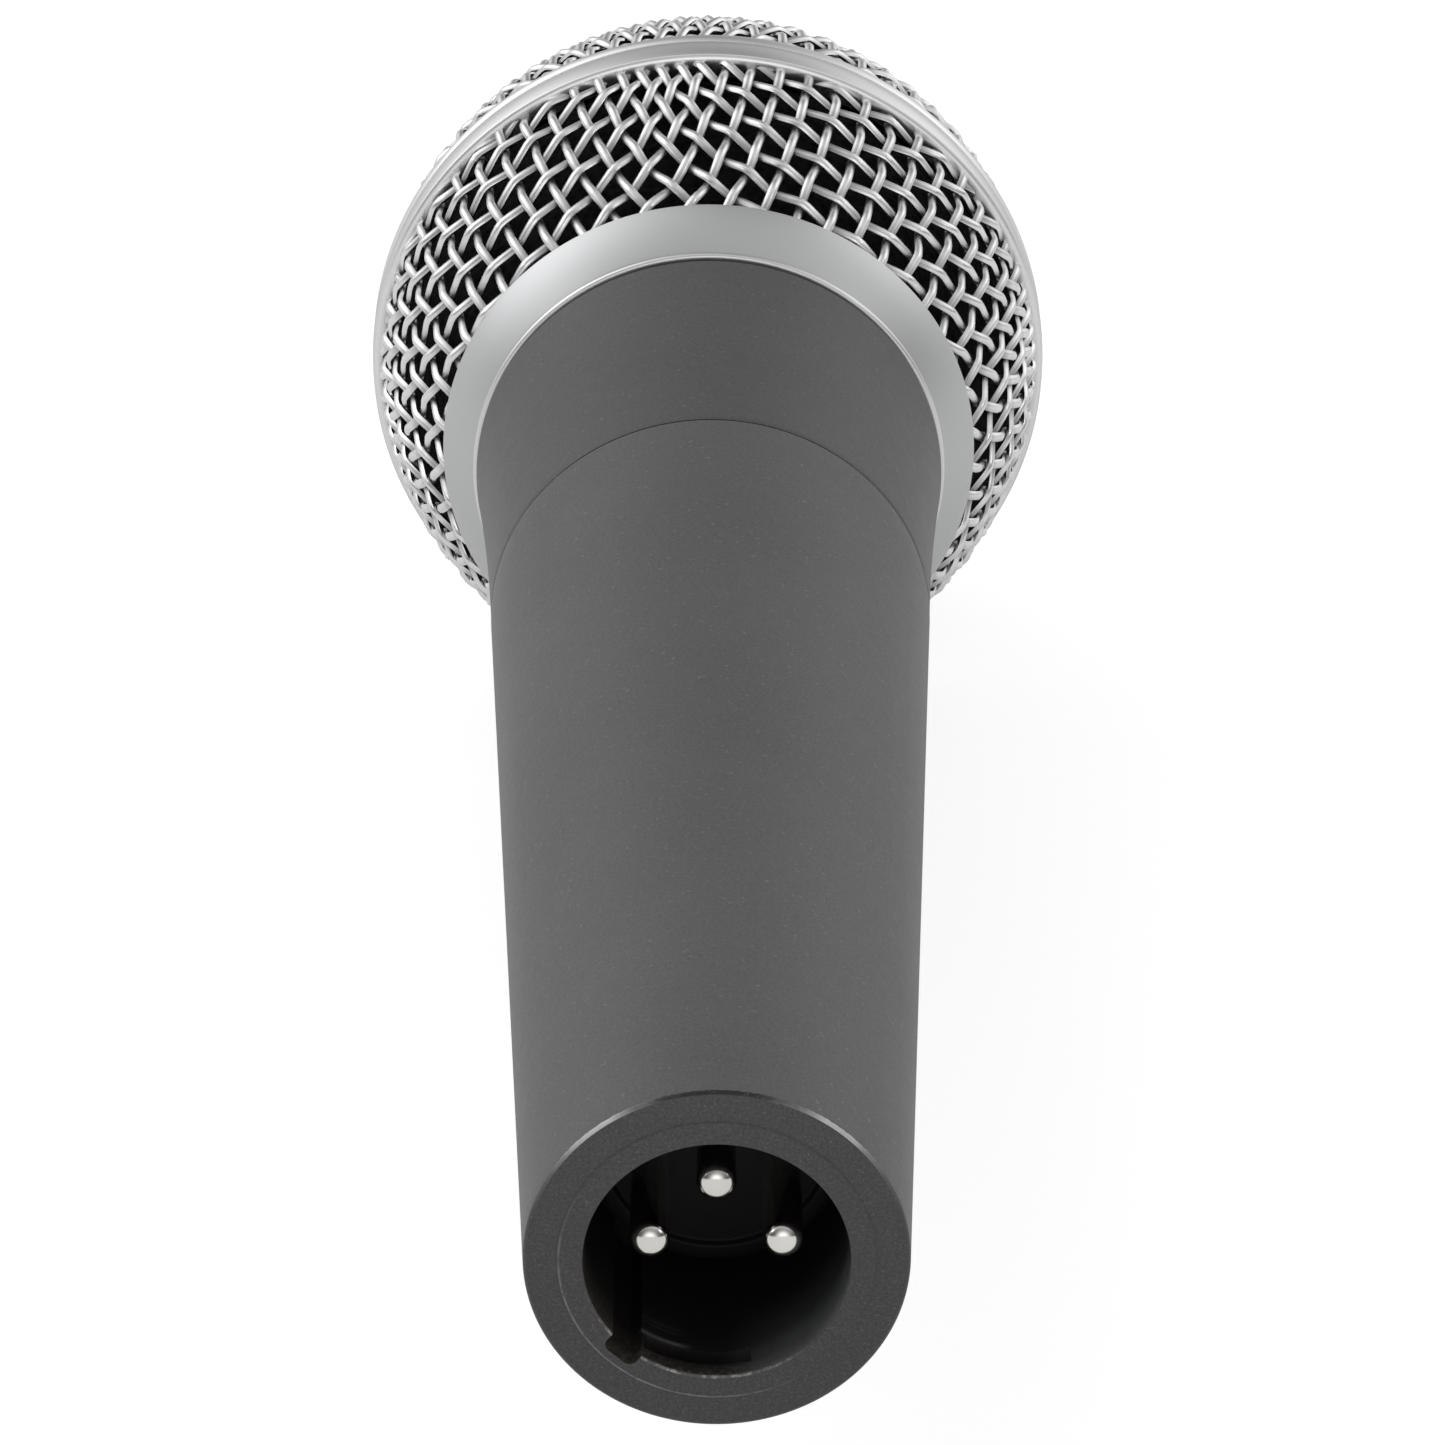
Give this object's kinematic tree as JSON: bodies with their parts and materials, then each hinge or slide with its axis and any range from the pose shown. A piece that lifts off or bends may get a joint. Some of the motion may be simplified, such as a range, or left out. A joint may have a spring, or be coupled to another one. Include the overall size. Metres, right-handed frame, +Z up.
{
  "type": "dynamic microphone",
  "caption": "Handheld vocal microphone: tapered handle with a three-pin socket, threaded neck, moving-coil cartridge and a ball grille of woven wire over foam.",
  "frame": {"origin": "centre of the overall bounding box, which is at mid-length on the microphone's long axis", "axes": "+Y along the long axis from the connector end to the grille, +Z towards the top contact pin (pin 3), +X to the right seen from the connector end with +Z up"},
  "size_m": [0.0514, 0.162, 0.0514],
  "materials": {
    "handle_paint": "fine grained satin enamel",
    "neck_paint": "fine grained satin enamel, a little darker",
    "connector_paint": "charcoal, speckled",
    "black_plastic": "moulded black",
    "pin_silver": "plated, slightly dulled contact pins",
    "steel": "turned steel",
    "brass": "bare",
    "core_steel": "dark laminated transformer steel",
    "copper": "enamelled copper wire",
    "black_rubber": "matte",
    "wire_black": "insulated wire",
    "wire_red": "insulated wire",
    "wire_yellow": "insulated wire",
    "wire_green": "insulated wire",
    "felt": "pressed felt",
    "magnet_alloy": "ground magnet",
    "clear_film": "thin formed film",
    "board": "paper laminate",
    "silver_satin": "satin plated, fine turned marks",
    "mesh_steel": "plated woven wire",
    "foam": "black open-cell foam"
  },
  "bodies": {
    "handle": {"handle_shell": "handle_paint", "connector_shell": "connector_paint", "connector_insert": "black_plastic", "pin_1": "pin_silver", "pin_2": "pin_silver", "pin_3": "pin_silver", "insert_set_screw": "steel", "ground_spring": "brass", "transformer_core": "core_steel", "transformer_bobbin": "black_plastic", "transformer_winding": "copper", "transformer_rear_pad": "black_rubber", "transformer_front_pad": "black_rubber", "lead_pin_1": "wire_black", "lead_pin_2": "wire_red", "lead_pin_3": "wire_yellow"},
    "neck_gasket": {"neck_gasket": "black_rubber"},
    "head": {"neck_collar": "neck_paint", "shock_mount_rear": "black_rubber", "shock_mount_front": "black_rubber"},
    "cartridge": {"cartridge_housing": "black_plastic", "rear_chamber": "black_plastic", "damping_felt": "felt", "yoke_cup": "steel", "magnet": "magnet_alloy", "pole_piece": "steel", "top_plate": "steel", "diaphragm_ring": "brass", "capsule_screen": "steel", "resonator_cap": "black_plastic", "terminal_board": "board", "terminal_lug_1": "brass", "terminal_lug_2": "brass", "lead_coil_1": "wire_yellow", "lead_coil_2": "wire_green"},
    "diaphragm": {"diaphragm": "clear_film", "voice_coil": "copper"},
    "grille_gasket": {"grille_gasket": "black_rubber"},
    "grille": {"grille_collar": "silver_satin", "mesh_lower": "mesh_steel", "foam_lower": "foam", "grille_band": "silver_satin", "mesh_upper": "mesh_steel", "foam_upper": "foam"}
  },
  "joints": [
    {"name": "head_advance", "type": "slide", "parent": "handle", "child": "neck_gasket", "axis": [0, 1, 0], "range_m": [0, 0.0065]},
    {"name": "head_unscrew", "type": "hinge", "parent": "neck_gasket", "child": "head", "pos_m": [0, 0.0066, 0], "axis": [0, 1, 0], "range_deg": [0, 1171]},
    {"name": "grille_advance", "type": "slide", "parent": "head", "child": "grille_gasket", "axis": [0, 1, 0], "range_m": [0, 0.004]},
    {"name": "grille_unscrew", "type": "hinge", "parent": "grille_gasket", "child": "grille", "pos_m": [0, 0.0314, 0], "axis": [0, 1, 0], "range_deg": [0, 721]},
    {"name": "cartridge_float", "type": "slide", "parent": "head", "child": "cartridge", "axis": [0, 1, 0], "range_m": [-0.0006, 0.0006], "stiffness_N_per_m": 4000},
    {"name": "diaphragm_travel", "type": "slide", "parent": "cartridge", "child": "diaphragm", "axis": [0, 1, 0], "range_m": [-0.00025, 0.00025], "stiffness_N_per_m": 400}
  ],
  "couplings": [
    {"joint": "head_unscrew", "follows": "head_advance", "rad_per_m": 3141.6},
    {"joint": "grille_unscrew", "follows": "grille_advance", "rad_per_m": 3141.6}
  ]
}
